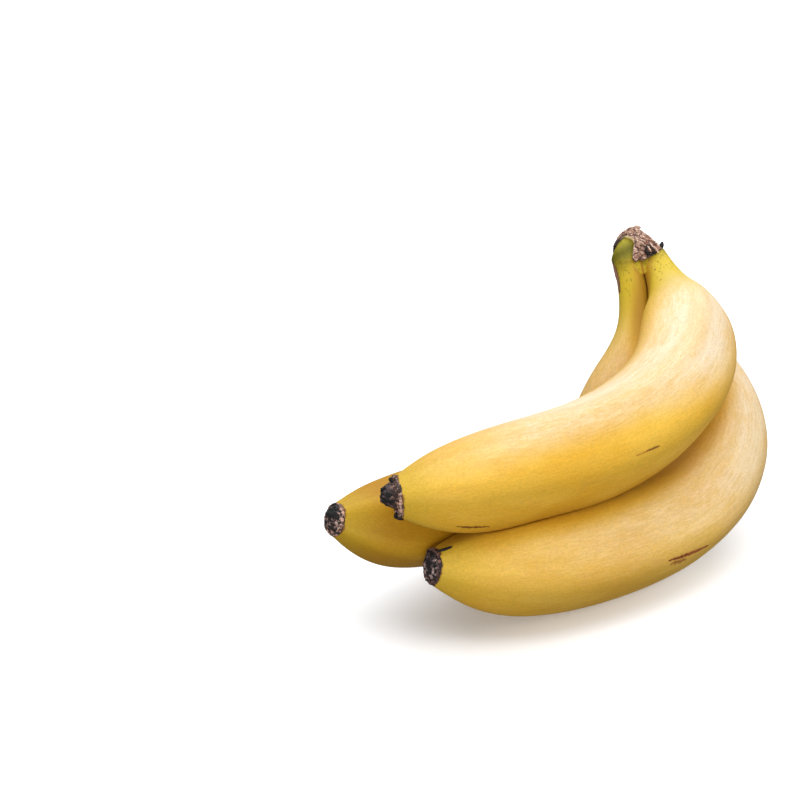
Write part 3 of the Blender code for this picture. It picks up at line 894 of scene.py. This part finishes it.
class Nodes:
    """Short ways to add and join the shader nodes of one material or group."""

    def __init__(self, tree):
        self.tree = tree

    def add(self, kind, settings=None, **inputs):
        """A node of a kind, with its settings, and its inputs as values or as outputs."""
        node = self.tree.nodes.new(kind)
        for key, value in (settings or {}).items():
            setattr(node, key, value)
        for key, value in inputs.items():
            self.put(node, key, value)
        return node

    def put(self, node, key, value):
        """Set or link one input, by its name with spaces as underscores, or by its number."""
        socket = node.inputs[int(key[1:]) if key[0] == "_" else key.replace("_", " ")]
        if isinstance(value, bpy.types.NodeSocket):
            self.tree.links.new(value, socket)
        else:
            socket.default_value = value

    def maths(self, operation, *values, clamp=False):
        """A sum of plain values, by the node's own name for it."""
        inputs = {"_%d" % i: value for i, value in enumerate(values)}
        settings = {"operation": operation, "use_clamp": clamp}
        return self.add("ShaderNodeMath", settings, **inputs).outputs[0]

    def vector(self, operation, *values, output=0, **inputs):
        """A sum of vectors. Output 1 is its plain value, such as a length."""
        inputs.update({"_%d" % i: value for i, value in enumerate(values)})
        return self.add("ShaderNodeVectorMath", {"operation": operation}, **inputs).outputs[output]

    def step(self, value, low, high, to_low=0.0, to_high=1.0):
        """A smooth step from to_low, where the value is low, to to_high, where it is high."""
        return self.add("ShaderNodeMapRange", {"interpolation_type": "SMOOTHSTEP"}, Value=value,
                        From_Min=low, From_Max=high, To_Min=to_low, To_Max=to_high).outputs[0]

    def blend(self, factor, a, b, kind="MIX"):
        """A mix of two colours."""
        node = self.add("ShaderNodeMix", {"data_type": "RGBA", "blend_type": kind})
        self.put(node, "_0", factor)
        self.put(node, "_6", a)
        self.put(node, "_7", b)
        return node.outputs[2]

    def tint(self, colour, amount, tint, most=1.0):
        """A colour tinted by an amount, up to the most that is given."""
        if most < 1.0:
            amount = self.maths("MULTIPLY", amount, most)
        return self.blend(amount, colour, tint)

    def cloud(self, place, scale, detail=3.0, roughness=0.55):
        """Noise values on a place, with its size as a scale."""
        return self.add("ShaderNodeTexNoise", Vector=place, Scale=scale, Detail=detail,
                        Roughness=roughness).outputs[0]

    def drawn_out(self, place, x, y, z):
        """A place with its axes scaled, so that a pattern on it is drawn out along some."""
        return self.vector("MULTIPLY", place, (x, y, z))

    def millimetres(self):
        """The place on the object, in millimetres."""
        place = self.add("ShaderNodeTexCoord").outputs["Object"]
        return self.vector("SCALE", place, Scale=1000.0)

    def use(self, tree, **inputs):
        """A node group's outputs, with its inputs as values or as outputs."""
        return self.add("ShaderNodeGroup", {"node_tree": tree}, **inputs).outputs

    def surface(self, shader, colour, roughness, height, strength, distance):
        """Feed the shader, with relief finer than the mesh in its normal."""
        self.put(shader, "Base Color", colour)
        self.put(shader, "Roughness", roughness)
        node = self.add("ShaderNodeBump", Strength=strength, Distance=distance, Height=height)
        self.put(shader, "Normal", node.outputs[0])

    def value_of(self, attribute, field="Fac"):
        """A mesh attribute's value or vector."""
        return self.add("ShaderNodeAttribute", {"attribute_name": attribute}).outputs[field]


def new_group(name, inputs, outputs):
    """An empty node group with named sockets, and its input and output nodes."""
    tree = bpy.data.node_groups.new(name, "ShaderNodeTree")
    for key, kind in inputs.items():
        tree.interface.new_socket(key, in_out="INPUT", socket_type="NodeSocket" + kind)
    for key, kind in outputs.items():
        tree.interface.new_socket(key, in_out="OUTPUT", socket_type="NodeSocket" + kind)
    nodes = Nodes(tree)
    start = nodes.add("NodeGroupInput").outputs
    end = nodes.add("NodeGroupOutput")
    return nodes, start, end


def new_material(name):
    """A material with its node helper and its Principled shader."""
    material = bpy.data.materials.new(name)
    material.use_nodes = True
    nodes = Nodes(material.node_tree)
    return material, nodes, material.node_tree.nodes["Principled BSDF"]


# Patterns on living skin: how they are drawn out along the fruit, scale, detail, roughness
SKIN_PATTERNS = {"clouds": (0.45, 0.055, 4.0, 0.55), "blotches": (0.45, 0.30, 5.0, 0.7),
                 "fibres": (0.13, 1.3, 5.0, 0.75), "grain": (0.5, 2.2, 3.0, 0.65),
                 "flecks": (0.4, 1.1, 3.0, 0.6)}
# Heights over the crown's base, in millimetres, between which each colour comes in
NECK_HEIGHTS = (-34.0, -4.0)
FLECK_HEIGHTS = (-22.0, -4.0)
GREEN_HEIGHTS = (-4.0, 8.0)
TOP_HEIGHTS = (7.0, 13.0)


def skin_pattern(nodes, place, name):
    """One of the skin's patterns of noise, on places in millimetres."""
    along, scale, detail, roughness = SKIN_PATTERNS[name]
    return nodes.cloud(nodes.drawn_out(place, 1.0, 1.0, along), scale, detail, roughness)


def living_skin_group():
    """Colour and bump of living banana skin, on places in millimetres, long along Z.

    Clouds of deep and light yellow, a pale cream broken up by clouds, blotches and fibres,
    which is partly a waxy film and partly a painted highlight, tan blotches, a deeper golden
    tone that is painted shade, ridges and the tip's tint where they are asked for, and a fine
    lengthwise grain. Towards the crown the skin turns the neck's yellow, above its base
    green and then paler, and olive flecks stand below and on it.
    """
    nodes, start, end = new_group(
        "living_skin", {"Place": "Vector", "Crown Height": "Float", "Ridge": "Float",
                        "Tip Tint": "Float", "Bloom": "Float", "Gold": "Float"},
        {"Color": "Color", "Height": "Float", "Roughness": "Float"})
    place = start["Place"]
    high = start["Crown Height"]
    clouds, blotch, fibre, fine, flecks = (skin_pattern(nodes, place, name) for name in SKIN_PATTERNS)
    colour = nodes.blend(nodes.step(clouds, 0.35, 0.68), DEEP_YELLOW, LIGHT_YELLOW)
    patch = nodes.maths("MULTIPLY", nodes.maths("ADD", clouds, blotch), 0.5)
    patch = nodes.maths("MULTIPLY_ADD", fibre, 0.5, patch)
    patch = nodes.step(patch, 0.62, 0.88, 0.65, 1.25)
    # Pale cream: partly a waxy film, partly a painted highlight
    colour = nodes.tint(colour, nodes.maths("MULTIPLY", start["Bloom"], patch, clamp=True), CREAM_BLOOM_AND_HIGHLIGHT)
    colour = nodes.tint(colour, nodes.step(blotch, 0.52, 0.74, 0.0, 0.30), TAN)
    # Deeper golden tone: painted shade in the creases and on the back fruit's shadowed tip
    colour = nodes.tint(colour, start["Gold"], SHADE_GOLD)
    ridge = nodes.maths("MULTIPLY", start["Ridge"], nodes.step(clouds, 0.3, 0.7, 0.08, 0.45))
    colour = nodes.tint(colour, ridge, RIDGE_OCHRE)
    colour = nodes.tint(colour, start["Tip Tint"], TIP_YELLOW)
    grain = nodes.maths("ADD", nodes.maths("MULTIPLY", fibre, 0.4), nodes.maths("MULTIPLY", fine, 0.6))
    colour = nodes.blend(1.0, colour, nodes.step(grain, 0.36, 0.64, 0.87, 1.06), "MULTIPLY")
    neck = nodes.step(nodes.maths("MULTIPLY_ADD", fine, 8.0, high), *NECK_HEIGHTS)
    colour = nodes.tint(colour, neck, NECK_YELLOW)
    green = nodes.step(nodes.maths("MULTIPLY_ADD", fine, 7.0, high), *GREEN_HEIGHTS)
    colour = nodes.tint(colour, green, CROWN_GREEN)
    top = nodes.step(nodes.maths("MULTIPLY_ADD", clouds, 6.0, high), *TOP_HEIGHTS, 0.0, 0.7)
    colour = nodes.tint(colour, top, CROWN_TOP_GREEN)
    flecks = nodes.step(flecks, 0.55, 0.68, 0.0, 0.75)
    flecks = nodes.maths("MULTIPLY", flecks, nodes.step(high, *FLECK_HEIGHTS))
    colour = nodes.tint(colour, flecks, OLIVE)
    height = nodes.maths("MULTIPLY_ADD", fibre, 0.6, nodes.maths("MULTIPLY", fine, 0.4))
    nodes.put(end, "Color", colour)
    nodes.put(end, "Height", height)
    nodes.put(end, "Roughness", nodes.step(blotch, 0.3, 0.7, 0.52, 0.64))
    return nodes.tree


def scuff_group():
    """A scuffed line between two places: full at its middle, frayed and thin at its ends."""
    nodes, start, end = new_group(
        "scuff_line", {"Place": "Vector", "From": "Vector", "To": "Vector", "Width": "Float",
                       "Fray": "Float"}, {"Mask": "Float"})
    run = nodes.vector("SUBTRACT", start["To"], start["From"])
    here = nodes.vector("SUBTRACT", start["Place"], start["From"])
    share = nodes.maths("DIVIDE", nodes.vector("DOT_PRODUCT", here, run, output=1),
                        nodes.vector("DOT_PRODUCT", run, run, output=1), clamp=True)
    nearest = nodes.vector("SCALE", run, Scale=share)
    away = nodes.vector("LENGTH", nodes.vector("SUBTRACT", here, nearest), output=1)
    ragged = nodes.maths("SUBTRACT", nodes.cloud(start["Place"], 0.9, 4.0, 0.7), 0.5)
    away = nodes.maths("MULTIPLY_ADD", ragged, start["Fray"], away)
    middle = nodes.maths("MULTIPLY", share, nodes.maths("SUBTRACT", 1.0, share))
    width = nodes.maths("MULTIPLY", start["Width"], nodes.maths("MULTIPLY_ADD", middle, 2.4, 0.4))
    nodes.put(end, "Mask", nodes.step(nodes.maths("DIVIDE", away, width), 1.0, 0.45))
    return nodes.tree


def dried_grain_group():
    """Shades of dried tissue on places in millimetres: grain, strands and dark cracks."""
    nodes, start, end = new_group(
        "dried_grain", {"Place": "Vector", "Crack": "Float"},
        {"Light": "Float", "Dark": "Float", "Height": "Float"})
    place = start["Place"]
    grain = nodes.cloud(place, 1.5, 5.0, 0.75)
    strands = nodes.cloud(nodes.drawn_out(place, 1.0, 0.35, 1.0), 2.2, 4.0, 0.7)
    cells = nodes.add("ShaderNodeTexVoronoi", {"feature": "DISTANCE_TO_EDGE"}, Vector=place,
                      Scale=1.9).outputs[0]
    gaps = nodes.step(cells, 0.10, 0.0)
    dark_gaps = nodes.maths("MULTIPLY", gaps, nodes.step(grain, 0.35, 0.6))
    nodes.put(end, "Light", nodes.step(nodes.maths("ADD", grain, strands), 0.85, 1.2))
    nodes.put(end, "Dark", nodes.maths("MAXIMUM", nodes.step(start["Crack"], 0.2, 0.9), dark_gaps))
    nodes.put(end, "Height", nodes.maths("SUBTRACT", grain, nodes.maths("MULTIPLY", gaps, 0.3)))
    return nodes.tree


# Where a peel is painted a deeper golden shade, which only the back fruit's shadowed tip has: shares
# from and to, and how much at each
GOLD_SHADE_SHARES = {"top": (0.4, 0.0, 0.0, 0.0), "front": (0.4, 0.0, 0.0, 0.0), "back": (0.45, 0.16, 0.05, 1.0)}
# Scuffs: share and angle of both ends, width and fray in millimetres, colour and depth
SCUFFS = {
    "top": [((0.428, 337.5), (0.451, 339.5), 0.60, 0.9, BROWN, 0.85),
            ((0.408, 337.5), (0.432, 338.0), 0.45, 1.4, RUST, 0.5),
            ((0.086, 24.0), (0.138, 28.0), 0.85, 1.9, BROWN, 0.9),
            ((0.895, 229.0), (0.899, 232.0), 0.55, 1.2, BROWN, 0.7),
            ((0.943, 223.0), (0.948, 227.0), 0.60, 1.4, BROWN, 0.7),
            ((0.963, 243.0), (0.968, 247.0), 0.50, 1.2, BROWN, 0.6)],
    "front": [((0.366, 330.0), (0.446, 336.5), 1.15, 2.4, RUST, 0.95),
              ((0.366, 330.5), (0.405, 333.0), 0.40, 1.3, BROWN, 0.8),
              ((0.372, 336.0), (0.402, 340.0), 1.3, 4.0, RUST, 0.72),
              ((0.487, 358.0), (0.493, 360.0), 0.50, 1.2, RUST, 0.6)],
    "back": [((0.952, 176.0), (1.012, 170.0), 2.3, 1.6, SCAR_EDGE, 0.95),
             ((0.957, 175.0), (1.010, 170.0), 1.5, 1.2, SCAR_PINK, 0.9)],
}


def on_straight(name, spot):
    """A share and an angle in degrees, as a place on the straightened fruit."""
    share, angle = spot
    reach = girth(FRUITS[name], share) / MM
    turn = math.radians(angle)
    return (reach * math.cos(turn), reach * math.sin(turn), share * LENGTHS[name] / MM)


def on_peel(name, spot):
    """A share and an angle in degrees, as a place in the bunch's frame, in millimetres."""
    share, angle = spot
    centre, along, outward, sideways = line_axes(name, np.array([min(share, 1.0)]))
    turn = math.radians(angle)
    place = centre + girth(FRUITS[name], share) * (math.cos(turn) * outward + math.sin(turn) * sideways)
    return (place + max(share - 1.0, 0.0) * LENGTHS[name] * along)[0] / MM


def scuffed(nodes, colour, scuff, place, name, at):
    """A colour with one fruit's scuffs drawn on it. The function at gives each end's place."""
    for first, last, width, fray, tint, depth in SCUFFS[name]:
        line = nodes.use(scuff, Place=place, From=at(name, first), To=at(name, last),
                         Width=width, Fray=fray)
        colour = nodes.tint(colour, line["Mask"], tint, depth)
    return colour


def peel_material(name, skin, scuff):
    """Ripe peel: living skin with pale cream that is partly a painted highlight, golden and brown
    painted shade near its neighbours, and scuffed.
    """
    material, nodes, shader = new_material("ripe_peel_" + name)
    place = nodes.value_of("place", "Vector")
    share = nodes.value_of("share")
    pressed = nodes.value_of("pressed")
    # The pale cream and painted highlight is left off where crease shade is painted
    bloom = nodes.maths("MULTIPLY", nodes.value_of("bloom"), nodes.step(pressed, 0.9, 0.0))
    # Painted crease shade near the neighbours, weaker towards the neck, drawn as a deeper golden tone
    shaded = nodes.maths("MULTIPLY", pressed, nodes.step(share, 0.62, 0.78, 0.5, 0.06))
    shade_gold = nodes.maths("MAXIMUM", shaded, nodes.step(share, *GOLD_SHADE_SHARES[name]))
    living = nodes.use(skin, Place=place, Crown_Height=nodes.value_of("crown_up"),
                       Ridge=nodes.value_of("ridge"), Bloom=bloom, Gold=shade_gold,
                       Tip_Tint=nodes.step(share, 0.08, 0.0, 0.0, 0.5))
    near_crown = nodes.step(share, 0.78, 0.9, 0.0, 0.6)
    # Painted shade, brown, in the crease between the necks
    shade_between_necks = nodes.maths("MULTIPLY", nodes.step(pressed, 0.35, 0.95), near_crown)
    colour = nodes.tint(living["Color"], shade_between_necks, NECK_SHADE_BROWN)
    colour = scuffed(nodes, colour, scuff, place, name, on_straight)
    ragged = nodes.maths("MULTIPLY_ADD", nodes.cloud(place, 0.5, 3.0, 0.6), 0.010, share)
    colour = nodes.tint(colour, nodes.step(ragged, 0.0135, 0.0105), TIP_EDGE_BROWN)
    nodes.put(shader, "Specular IOR Level", 0.24)
    nodes.surface(shader, colour, living["Roughness"], living["Height"], 0.45, 0.14 * MM)
    return material


def crown_material(skin, scuff):
    """Living crown skin: the peel's greenest end, with painted shade in brown between the stalks, and
    scarred.
    """
    material, nodes, shader = new_material("crown_skin")
    place = nodes.millimetres()
    living = nodes.use(skin, Place=place, Crown_Height=nodes.value_of("crown_up"),
                       Ridge=0.0, Tip_Tint=0.0, Bloom=0.0, Gold=0.0)
    brown = nodes.step(nodes.cloud(place, 0.45, 4.0, 0.65), 0.54, 0.68, 0.0, 0.4)
    colour = nodes.tint(living["Color"], brown, CROWN_BROWN)
    # Painted shade in the grooves between the stalks
    colour = nodes.tint(colour, nodes.value_of("grooved"), GROOVE_SHADE_BROWN, 0.75)
    colour = scuffed(nodes, colour, scuff, place, "back", on_peel)
    nodes.put(shader, "Specular IOR Level", 0.2)
    nodes.surface(shader, colour, living["Roughness"], living["Height"], 0.5, 0.2 * MM)
    return material


def crust_material(grain):
    """Dried cut tissue: pinkish brown pebbles and cracks, a torn edge, cream skin and char."""
    material, nodes, shader = new_material("dried_crust")
    place = nodes.millimetres()
    dried = nodes.use(grain, Place=place, Crack=nodes.value_of("crack"))
    tone = nodes.maths("MULTIPLY_ADD", dried["Light"], 0.45, nodes.value_of("tone"))
    colour = nodes.blend(nodes.step(tone, 0.15, 1.15), CRUST_DARK, CRUST_LIGHT)
    patch = nodes.step(nodes.cloud(place, 0.28, 3.0, 0.6), 0.52, 0.66, 0.0, 0.35)
    colour = nodes.tint(colour, patch, CRUST_PATCH)
    colour = nodes.tint(colour, dried["Dark"], CRUST_CRACK, 0.9)
    torn = nodes.step(nodes.value_of("torn"), 0.25, 0.95, 0.0, 0.85)
    colour = nodes.tint(colour, torn, CRUST_EDGE)
    colour = nodes.tint(colour, nodes.value_of("cream"), CRUST_CREAM, 0.9)
    char = nodes.blend(nodes.step(tone, 0.5, 1.3), CHAR_DARK, CHAR_LIGHT)
    colour = nodes.tint(colour, nodes.value_of("char"), char)
    nodes.surface(shader, colour, 0.8, dried["Height"], 0.8, 0.25 * MM)
    return material


def end_material(name, grain):
    """A withered end: pebbled brown scar, paler torn rim, and black where it is burnt dry."""
    rim_light, pebble_light, pebble_dark = END_TINTS[name]
    material, nodes, shader = new_material("withered_end_" + name)
    dried = nodes.use(grain, Place=nodes.millimetres(), Crack=nodes.value_of("crack"))
    tone = nodes.maths("MULTIPLY_ADD", dried["Light"], 0.4, nodes.value_of("tone"))
    scar = nodes.blend(nodes.step(tone, 0.45, 1.1), pebble_dark, pebble_light)
    rim = nodes.blend(nodes.step(tone, 0.3, 1.0), pebble_dark, rim_light)
    colour = nodes.tint(scar, nodes.value_of("rim"), rim)
    colour = nodes.tint(colour, nodes.value_of("below"), rim, 0.6)
    colour = nodes.tint(colour, dried["Dark"], END_CRACK, 0.92)
    black = nodes.blend(nodes.step(tone, 0.75, 1.3), END_BLACK, END_GREY)
    colour = nodes.tint(colour, nodes.value_of("burnt"), black)
    nodes.surface(shader, colour, 0.62, dried["Height"], 0.8, 0.25 * MM)
    return material


# Stage
def floor_material():
    """Pale floor that glows a little, and less and warmer in an oval under the bunch as a painted
    shadow.
    """
    material, nodes, shader = new_material("pale_floor")
    place = nodes.add("ShaderNodeTexCoord").outputs["Object"]
    nodes.put(shader, "Base Color", nodes.blend(nodes.cloud(place, 3.0, 2.0), FLOOR_DIM, FLOOR_LIGHT))
    nodes.put(shader, "Roughness", 0.7)
    nodes.put(shader, "Specular IOR Level", 0.2)
    oval = nodes.add("ShaderNodeMapping", {"vector_type": "TEXTURE"}, Vector=place,
                     Location=SHADOW_OVAL_MIDDLE, Rotation=SHADOW_OVAL_TURN, Scale=SHADOW_OVAL_REACH).outputs[0]
    # Painted shadow: a dimmer, warmer glow in the oval under the bunch
    under = nodes.step(nodes.vector("LENGTH", oval, output=1), 1.0, 0.1)
    nodes.put(shader, "Emission Strength", nodes.step(under, 0.0, 1.0, *FLOOR_GLOWS))
    nodes.put(shader, "Emission Color", nodes.blend(under, WHITE, FLOOR_SHADOW_WARMTH))
    return material


def build_floor():
    """A wide square floor at height 0. It takes shadows and throws no light back."""
    corners = [(-FLOOR_HALF, -FLOOR_HALF, 0), (FLOOR_HALF, -FLOOR_HALF, 0),
               (FLOOR_HALF, FLOOR_HALF, 0), (-FLOOR_HALF, FLOOR_HALF, 0)]
    mesh = bpy.data.meshes.new("floor")
    mesh.from_pydata(corners, [], [(0, 1, 2, 3)])
    mesh.materials.append(floor_material())
    floor = bpy.data.objects.new("floor", mesh)
    floor.visible_diffuse = False
    floor.visible_glossy = False
    bpy.context.scene.collection.objects.link(floor)


def build_lights():
    """A dim white world and square soft lights that face the middle of the bunch."""
    world = bpy.data.worlds.new("studio")
    world.use_nodes = True
    sky = world.node_tree.nodes["Background"]
    sky.inputs["Color"].default_value = WHITE
    sky.inputs["Strength"].default_value = WORLD_STRENGTH
    bpy.context.scene.world = world
    for name, place, size, power in LIGHTS:
        light = bpy.data.lights.new(name, "AREA")
        light.size = size
        light.energy = power
        lamp = bpy.data.objects.new(name, light)
        lamp.location = place
        lamp.rotation_euler = (Vector(LIT_SPOT) - Vector(place)).to_track_quat("-Z", "Y").to_euler()
        bpy.context.scene.collection.objects.link(lamp)


def build_camera():
    """The camera, level from side to side, looking down at its target."""
    down = math.radians(CAMERA_DOWN)
    back = Vector((0.0, -math.cos(down), math.sin(down)))
    camera = bpy.data.cameras.new("camera")
    camera.lens = CAMERA_LENS
    camera.sensor_width = CAMERA_SENSOR
    seen_from = bpy.data.objects.new("camera", camera)
    seen_from.location = Vector(CAMERA_TARGET) + CAMERA_DISTANCE * back
    seen_from.rotation_euler = (math.pi / 2.0 - down, 0.0, 0.0)
    bpy.context.scene.collection.objects.link(seen_from)
    bpy.context.scene.camera = seen_from
    bpy.context.scene.view_settings.view_transform = "Standard"


def build_bunch():
    """Every piece of the bunch, with its material."""
    skin = living_skin_group()
    scuff = scuff_group()
    grain = dried_grain_group()
    for name in FRUITS:
        peel_piece(name, peel_material(name, skin, scuff))
    crown_piece(crown_material(skin, scuff))
    crust_piece(crust_material(grain))
    for name in FRUITS:
        end_piece(name, end_material(name, grain))


build_bunch()
build_floor()
build_lights()
build_camera()
